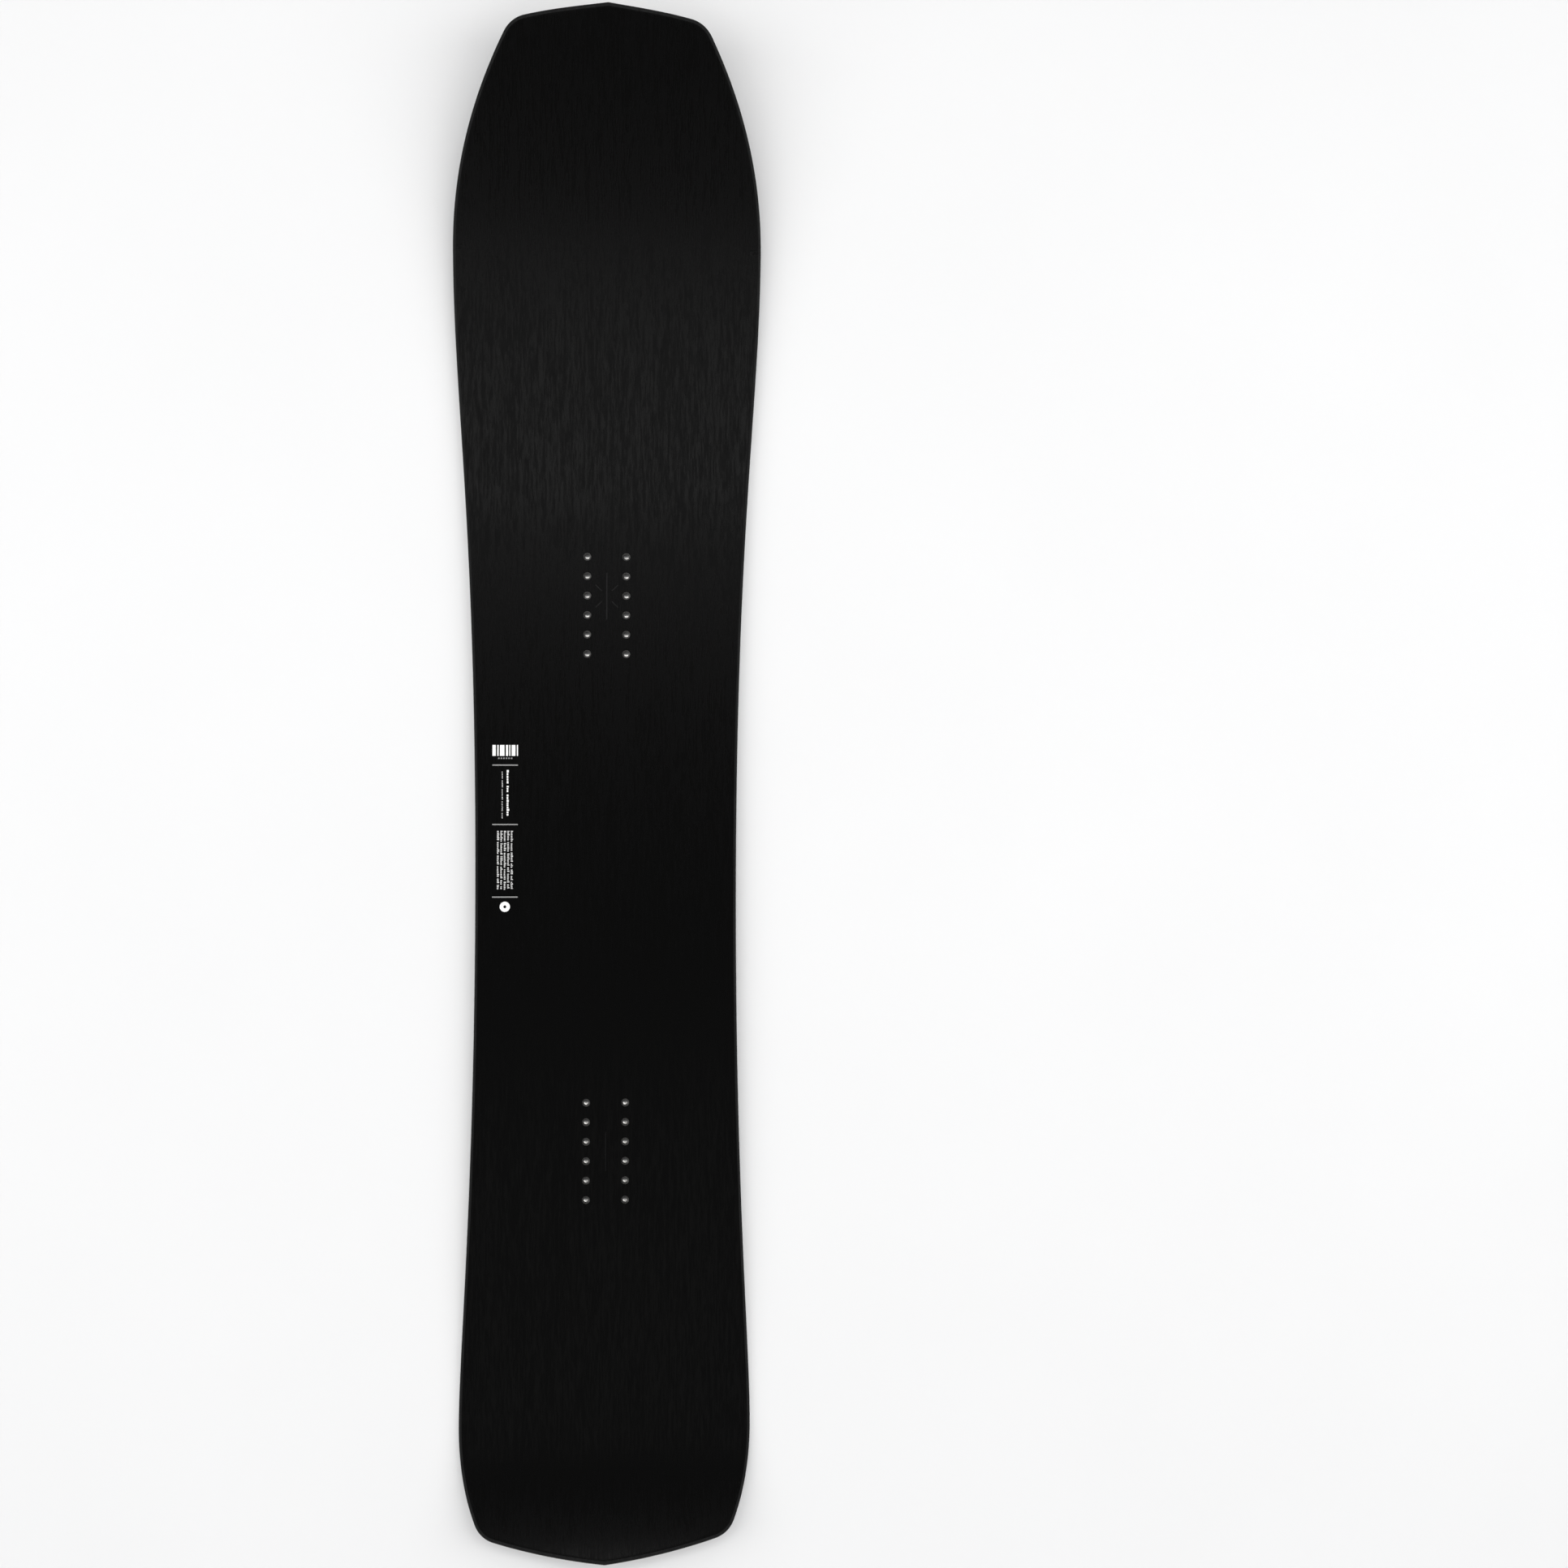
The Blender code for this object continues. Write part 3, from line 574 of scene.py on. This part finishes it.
def rubber_material():
    m = Material("edge_foil_rubber")
    fine = m.noise((900, 900, 900), detail=4.0)
    colour = m.blend(m.ranged(fine, 0.35, 0.7), grey(0.009), grey(0.02))
    return m.finish(colour, m.ranged(fine, 0.3, 0.7, 0.7, 0.88), m.bump(fine, 0.04 * MM, 0.5))


def ink_material(name, value, worn):
    """Screen-printed ink with pinholes where the grain shows through."""
    m = Material(name)
    grain = m.noise((1500, 150, 1500), detail=4.0, roughness=0.65)
    wear = m.ranged(grain, 0.62 - worn, 0.8 - worn)
    colour = m.blend(wear, grey(value, (1.0, 0.995, 0.98)), grey(value * 0.45))
    roughness = m.ranged(grain, 0.3, 0.7, 0.42, 0.6)
    return m.finish(colour, roughness, m.bump(grain, 0.02 * MM, 0.5), 0.12)


def floor_material():
    m = Material("studio_floor", roughness=0.75)
    mottle = m.noise((3, 3, 3), detail=3.0)
    fine = m.noise((160, 160, 160), detail=3.0)
    colour = m.blend(mottle, grey(0.8), grey(0.83))
    return m.finish(colour, m.ranged(fine, 0.3, 0.7, 0.7, 0.8), m.bump(fine, 0.02 * MM, 0.3))


TOPSHEET = topsheet_material()
TOPSHEET_RIM = topsheet_rim_material()
SIDEWALL = sidewall_material("sidewall_planed_abs", 0.003)
SPACER = sidewall_material("tip_spacer_abs", 0.0045)
EDGE = edge_material()
BASE = base_material()
# The last value, 0.1, is the grey of the painted shade on the nose side of the bore.
INSERT_BORE = insert_material("insert_bore_steel", 0.62, 0.5, 0.26, 0.38, 0.1)
INSERT_RIM = insert_material("insert_rim_sanded", 0.09, 0.035, 0.4, 0.6)
GLASS = glass_material()
POPLAR = wood_material(
    "poplar_strip", (0.55, 0.4, 0.22, 1), (0.36, 0.23, 0.11, 1), (0.2, 0.12, 0.05, 1)
)
BEECH = wood_material(
    "beech_strip", (0.42, 0.24, 0.13, 1), (0.26, 0.13, 0.06, 1), (0.12, 0.05, 0.02, 1)
)
RUBBER = rubber_material()
WHITE_INK = ink_material("ink_white", 0.9, 0.0)
PALE_INK = ink_material("ink_pale", 0.6, 0.02)
GREY_INK = ink_material("ink_grey", 0.28, 0.03)
FAINT_INK = ink_material("ink_faint", 0.0065, 0.05)


def piece(name, bm, material, slot, *nodes):
    shade(bm)
    obj = new_object(name, bm)
    obj.data.materials.append(material)
    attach(obj, "root")
    if nodes:
        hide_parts(*nodes)
    return obj


# ---------------------------------------------------------------- layers
def layer(name, bm, material, slot, *nodes):
    split_lengthwise(bm)
    press(bm)
    return piece(name, bm, material, slot, *nodes)


DRILL_STEPS = 40
DRILL_FOOT, MOUTH_FOOT, DRILL_TOP = 4.0 * MM, 4.5 * MM, 9.0 * MM
MOUTH_EASING = ((0.0, -0.3), (0.1, -0.12), (0.3, 0.0), (0.5, 0.1))

hole_drill = [
    (0.0, DRILL_FOOT), (HOLE_RADIUS, DRILL_FOOT), (HOLE_RADIUS, DRILL_TOP), (0.0, DRILL_TOP),
]
mouth_drill = [(0.0, MOUTH_FOOT), (HOLE_RADIUS, MOUTH_FOOT)]
mouth_drill += [(HOLE_RADIUS + out * MM, DECK_TOP + up * MM) for out, up in MOUTH_EASING]
mouth_drill += [(0.0, mouth_drill[-1][1])]

top_bm = sheet(TOPSHEET_LEVELS)
for face in top_bm.faces:
    if 0.0 < face.normal.z < math.cos(RIM_SLOPE):
        face.material_index = 1
split_lengthwise(top_bm)
top_bm = cut(top_bm, "DIFFERENCE", drills(mouth_drill, DRILL_STEPS))
press(top_bm)
deck = piece("deck_topsheet", top_bm, TOPSHEET, "topsheet", "topsheet")
deck.data.materials.append(TOPSHEET_RIM)

glass_bm = sheet(TOP_GLASS_LEVELS)
split_lengthwise(glass_bm, 2 * STATION_STEP)
glass_bm = cut(glass_bm, "DIFFERENCE", drills(hole_drill, DRILL_STEPS))
press(glass_bm)
piece("deck_laminate", glass_bm, GLASS, "glass_laminate", "top_glass")

layer("base_laminate", sheet(TRAY_LEVELS), GLASS, "glass_laminate", "bottom_glass")
layer("running_base", sheet(BASE_LEVELS), BASE, "base", "base_sheet")

for side, hand in ((-1, "left"), (1, "right")):
    layer(f"rail_edge_{hand}", rail(side, EDGE_SECTION), EDGE, "edge_steel", f"steel_edge_{hand}")
    foil = rail(side, RUBBER_SECTION)
    layer(f"edge_foil_{hand}", foil, RUBBER, "edge_foil", f"edge_rubber_{hand}")
    wall = rail(side, SIDEWALL_SECTION, (NOSE_WIDE_Y - SEAM / 2, TAIL_WIDE_Y + SEAM / 2))
    layer(f"rail_sidewall_{hand}", wall, SIDEWALL, "sidewall", f"sidewall_{hand}")

for side, end in ((1, "tip"), (-1, "tail")):
    slab = sheet(SLAB_LEVELS)
    split_lengthwise(slab)
    slab = cut(slab, "INTERSECT", spacer_cutter(side))
    press(slab)
    piece(f"{end}_fill", slab, SPACER, "tip_spacer", f"{end}_spacer")


# ---------------------------------------------------------------- threaded inserts
INSERT_OUTSIDE = [
    (0.0, 0.0), (8.3, 0.0), (8.5, 0.2), (8.5, 0.85), (8.35, 1.0), (4.7, 1.0), (4.5, 1.15),
    (4.5, 5.85), (4.35, 6.0), (3.3, 6.0), (3.05, 5.8),
]
BORE_RADIUS, THREAD_DEPTH, PITCH = 2.5 * MM, 0.5 * MM, 1.0 * MM
THREAD_STEEPNESS, THREAD_FLAT = 2.6, 0.3
THREAD_FOOT, THREAD_TOP = 1.9 * MM, 5.5 * MM
CONE_RADIUS, CONE_TOP, CONE_TIP = 2.35 * MM, 1.75 * MM, 1.3 * MM
INSERT_SMOOTH_ANGLE = math.radians(34)
THREAD_MOUTH_RADIUS = 2.6 * MM
SANDED_FROM = 4.9 * MM


def insert_bm(steps=32, rows=36):
    """A flanged M6 insert: turned outside, helical thread inside, drilled cone at the bottom."""
    bm = bmesh.new()
    rings = [[(r * MM, z * MM)] * steps for r, z in INSERT_OUTSIDE]
    for row in range(rows + 1):
        z = mix(THREAD_TOP, THREAD_FOOT, row / rows)
        ring = []
        for i in range(steps):
            phase = (z / PITCH - i / steps) % 1.0
            ridge = min(max(abs(phase - 0.5) * THREAD_STEEPNESS - THREAD_FLAT, 0.0), 1.0)
            ring.append((BORE_RADIUS + THREAD_DEPTH * ridge, z))
        rings.append(ring)
    rings += [[(CONE_RADIUS, CONE_TOP)] * steps, [(0.0, CONE_TIP)] * steps]
    loops = []
    for ring in rings:
        if ring[0][0] == 0.0:
            loops.append([bm.verts.new((0, 0, ring[0][1]))])
            continue
        angles = [2 * math.pi * i / steps for i in range(steps)]
        points = [(r * math.cos(a), r * math.sin(a), z) for a, (r, z) in zip(angles, ring)]
        loops.append([bm.verts.new(point) for point in points])
    for low, high in zip(loops, loops[1:]):
        for i in range(steps):
            j = (i + 1) % steps
            corners = [
                low[i % len(low)], low[j % len(low)], high[j % len(high)], high[i % len(high)],
            ]
            bm.faces.new(list(dict.fromkeys(corners)))
    bmesh.ops.recalc_face_normals(bm, faces=bm.faces[:])
    for face in bm.faces:
        middle = face.calc_center_median()
        if math.hypot(middle.x, middle.y) > THREAD_MOUTH_RADIUS or middle.z > SANDED_FROM:
            face.material_index = 1
    shade(bm, INSERT_SMOOTH_ANGLE)
    return bm


insert_mesh = None
for name, x, y in insert_sites():
    if insert_mesh is None:
        obj = new_object(f"threaded_{name}", insert_bm())
        obj.data.materials.append(INSERT_BORE)
        obj.data.materials.append(INSERT_RIM)
        insert_mesh = obj.data
    else:
        obj = bpy.data.objects.new(f"threaded_{name}", insert_mesh)
        bpy.context.scene.collection.objects.link(obj)
    obj.location = pressed([(x, y, CORE_FOOT)])[0]
    obj.rotation_euler = (float(profile(np.array(y))[1]), 0.0, 0.0)
    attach(obj, "root")
    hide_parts(name)


# ---------------------------------------------------------------- generic print
INK = 0.03 * MM
SUNK = 0.02 * MM
PRINT_STEP = 6.0 * MM


def patch(bm, rows, closed=False):
    """A thin printed film on the deck over a strip of quads between two rows of points."""
    verts = [[bm.verts.new((x, y, DECK_TOP - SUNK)) for x, y in row] for row in rows]
    count = len(verts[0])
    faces = []
    for i in range(count if closed else count - 1):
        j = (i + 1) % count
        faces.append(bm.faces.new([verts[0][i], verts[0][j], verts[1][j], verts[1][i]]))
    top = bmesh.ops.extrude_face_region(bm, geom=faces, use_keep_orig=True)["geom"]
    raised = [g for g in top if isinstance(g, bmesh.types.BMVert)]
    bmesh.ops.translate(bm, verts=raised, vec=(0, 0, INK + SUNK))


def bar(bm, x, y, width, length):
    """A printed bar centred on x, y; width runs across the board."""
    count = max(1, round(length / PRINT_STEP))
    ys = [y - length / 2 + length * i / count for i in range(count + 1)]
    patch(bm, [[(x + side * width / 2, v) for v in ys] for side in (-1, 1)])


def stroke(bm, a, b, width):
    a, b = Vector(a), Vector(b)
    across = (b - a).normalized().orthogonal() * width / 2
    patch(bm, [[a - across, b - across], [a + across, b + across]])


def disc(bm, x, y, radius, inner, steps=40):
    angles = [2 * math.pi * i / steps for i in range(steps)]
    rings = [[(x + r * math.cos(t), y + r * math.sin(t)) for t in angles] for r in (inner, radius)]
    patch(bm, rings, True)


def printed(name, bm, material):
    bmesh.ops.recalc_face_normals(bm, faces=bm.faces[:])
    press(bm)
    return piece(name, bm, material, "topsheet")


LABEL_X = -103.2 * MM
LABEL_HALF = 13.0 * MM
BARS_Y, BARS_HEIGHT = 39.8 * MM, 11.2 * MM
BAR_WIDTHS_AND_SPACES = (
    (3.4, 1.5), (1.4, 1.3), (4.6, 1.5), (2.2, 1.2), (1.2, 1.3), (3.8, 1.4), (1.2, 0.0),
)
DOTS_Y, DOTS, DOT_PITCH, DOT_WIDTH, DOT_LENGTH = 31.8 * MM, 6, 2.6 * MM, 1.5 * MM, 1.4 * MM
RULES_Y, RULE_WIDTH = (24.8 * MM, -35.9 * MM, -110.0 * MM), 1.2 * MM
DISC_Y, DISC_RADIUS, DISC_HOLE = -119.9 * MM, 5.2 * MM, 1.5 * MM
dice = random.Random(7)

emblem = bmesh.new()
x = LABEL_X - LABEL_HALF
for width, space in BAR_WIDTHS_AND_SPACES:
    bar(emblem, x + width * MM / 2, BARS_Y, width * MM, BARS_HEIGHT)
    x += (width + space) * MM
disc(emblem, LABEL_X, DISC_Y, DISC_RADIUS, DISC_HOLE)
printed("label_bars_and_disc", emblem, WHITE_INK)

rules = bmesh.new()
for y in RULES_Y:
    bar(rules, LABEL_X, y, 2 * LABEL_HALF, RULE_WIDTH)
for i in range(DOTS):
    bar(rules, LABEL_X + (i - (DOTS - 1) / 2) * DOT_PITCH, DOTS_Y, DOT_WIDTH, DOT_LENGTH)
printed("label_rules", rules, GREY_INK)


Words = namedtuple("Words", "x top bottom width glyph space")
LABEL_HEADING = Words(LABEL_X + 2.9 * MM, 19.8 * MM, -30.9 * MM, 2.6 * MM, 2.0 * MM, 0.55 * MM)
LABEL_SUBHEADING = Words(LABEL_X - 2.8 * MM, 18.2 * MM, -30.1 * MM, 1.2 * MM, 0.9 * MM, 0.6 * MM)
LABEL_PARAGRAPH = Words(LABEL_X, -42.4 * MM, -102.5 * MM, 2.2 * MM, 1.1 * MM, 0.5 * MM)
PARAGRAPH_LINES, LINE_PITCH = 5, 3.5 * MM
WORD_LENGTHS = (3, 9)
GLYPH_STRETCH = (0.75, 1.3)
GLYPH_HEIGHTS = (0.62, 0.7, 1.0, 0.8)


def greeked(bm, x, top, bottom, width, glyph, space):
    """A line of meaningless print running down the board: words of short bars."""
    y = top
    while y > bottom + 3 * glyph:
        for _ in range(dice.randint(*WORD_LENGTHS)):
            length = glyph * dice.uniform(*GLYPH_STRETCH)
            if y - length < bottom:
                break
            height = width * dice.choice(GLYPH_HEIGHTS)
            bar(bm, x - (width - height) / 2, y - length / 2, height, length)
            y -= length + space
        y -= 1.6 * space + glyph * 0.5


heading = bmesh.new()
greeked(heading, *LABEL_HEADING)
printed("label_heading", heading, WHITE_INK)
lines = bmesh.new()
greeked(lines, *LABEL_SUBHEADING)
for i in range(PARAGRAPH_LINES):
    line_x = LABEL_X + (i - (PARAGRAPH_LINES - 1) / 2) * LINE_PITCH
    greeked(lines, *LABEL_PARAGRAPH._replace(x=line_x))
printed("label_lines", lines, PALE_INK)

TICKS_Y = PACKS["front"] + 9.5 * MM
FRONT_LINE, REAR_LINE = (1.2 * MM, 48.0 * MM), (0.4 * MM, 40.0 * MM)
TICK_NEAR, TICK_FAR, TICK_WIDTH = (5.2 * MM, 5.5 * MM), (11.5 * MM, 11.5 * MM), 0.9 * MM
ticks = bmesh.new()
bar(ticks, 0.0, TICKS_Y, *FRONT_LINE)
bar(ticks, 0.0, PACKS["rear"], *REAR_LINE)
for side in (-1, 1):
    for end in (-1, 1):
        near, far = ((side * x, TICKS_Y + end * y) for x, y in (TICK_NEAR, TICK_FAR))
        stroke(ticks, near, far, TICK_WIDTH)
printed("stance_ticks", ticks, FAINT_INK)

# ---------------------------------------------------------------- carried-over CAD nodes
for name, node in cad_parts.items():
    for prefix, wood in (("core_strip", POPLAR), ("core_stringer", BEECH)):
        if name.startswith(prefix):
            node.data.materials.clear()
            node.data.materials.append(wood)

# ---------------------------------------------------------------- stage, light and camera
FLOOR_HALF_WIDTH = 9.0
FLOOR_DROP = 0.4 * MM
floor_bm = bmesh.new()
bmesh.ops.create_grid(floor_bm, x_segments=2, y_segments=2, size=FLOOR_HALF_WIDTH)
floor = new_object("floor", floor_bm)
floor.location.z = -FLOOR_DROP
floor.data.materials.append(floor_material())


Softbox = namedtuple("Softbox", "name location target width depth watts")
SOFTBOXES = (
    Softbox("key_over_nose", (0.0, 0.92, 3.0), (0.0, 0.55, 0.0), 2.3, 0.5, 18.5),
    Softbox("kicker_over_tail", (0.0, -1.5, 3.0), (0.0, -0.95, 0.0), 2.0, 1.5, 5.2),
    Softbox("fill_left", (-2.7, 0.2, 2.5), (0.0, 0.0, 0.0), 2.2, 3.4, 54.0),
    Softbox("fill_right", (2.7, 0.2, 2.5), (0.0, 0.0, 0.0), 2.2, 3.4, 54.0),
    Softbox("fill_tail", (0.0, -3.6, 1.9), (0.0, 0.0, 0.0), 3.4, 1.6, 15.0),
)
for box in SOFTBOXES:
    data = bpy.data.lights.new(box.name, "AREA")
    data.shape = "RECTANGLE"
    data.size, data.size_y, data.energy = box.width, box.depth, box.watts
    light = bpy.data.objects.new(box.name, data)
    bpy.context.scene.collection.objects.link(light)
    light.location = box.location
    aim = Vector(box.target) - Vector(box.location)
    light.rotation_euler = aim.to_track_quat("-Z", "Y").to_euler()

# The sky fades from pale at the horizon to grey overhead; each stop is (upward share, colour).
SKY_STOPS = ((0.0, (0.8, 0.8, 0.81, 1)), (0.85, (0.4, 0.4, 0.402, 1)))
world = bpy.data.worlds.new("studio")
bpy.context.scene.world = world
world.use_nodes = True
sky = world.node_tree
direction = sky.nodes.new("ShaderNodeTexCoord").outputs["Generated"]
split = sky.nodes.new("ShaderNodeSeparateXYZ")
sky.links.new(direction, split.inputs[0])
ramp = sky.nodes.new("ShaderNodeValToRGB")
for element, (position, colour) in zip(ramp.color_ramp.elements, SKY_STOPS):
    element.position, element.color = position, colour
sky.links.new(split.outputs["Z"], ramp.inputs[0])
sky.links.new(ramp.outputs["Color"], sky.nodes["Background"].inputs["Color"])

# The camera stands over the board and turns aside, so the board lies left of mid-view.
DECK_DISTANCE = 2.4
CAMERA_Y, DECK_HEIGHT = 5.85 * MM, 14.0 * MM
VIEW_WIDTH = 1607.4 * MM
AIM_ASIDE = 182.6 * MM
SENSOR_WIDTH = 36.0
pan = math.atan(AIM_ASIDE / DECK_DISTANCE)
roll = math.radians(0.13)
camera_data = bpy.data.cameras.new("camera")
camera_data.sensor_width = SENSOR_WIDTH
camera_data.lens = SENSOR_WIDTH * DECK_DISTANCE * math.cos(pan) / VIEW_WIDTH
camera = bpy.data.objects.new("camera", camera_data)
bpy.context.scene.collection.objects.link(camera)
turn = Matrix.Rotation(roll, 3, "Z") @ Matrix.Rotation(-pan, 3, "Y")
stand = Matrix.Translation((0.0, CAMERA_Y, DECK_DISTANCE + DECK_HEIGHT))
camera.matrix_world = stand @ turn.to_4x4()
bpy.context.scene.camera = camera
bpy.context.scene.view_settings.view_transform = "Standard"
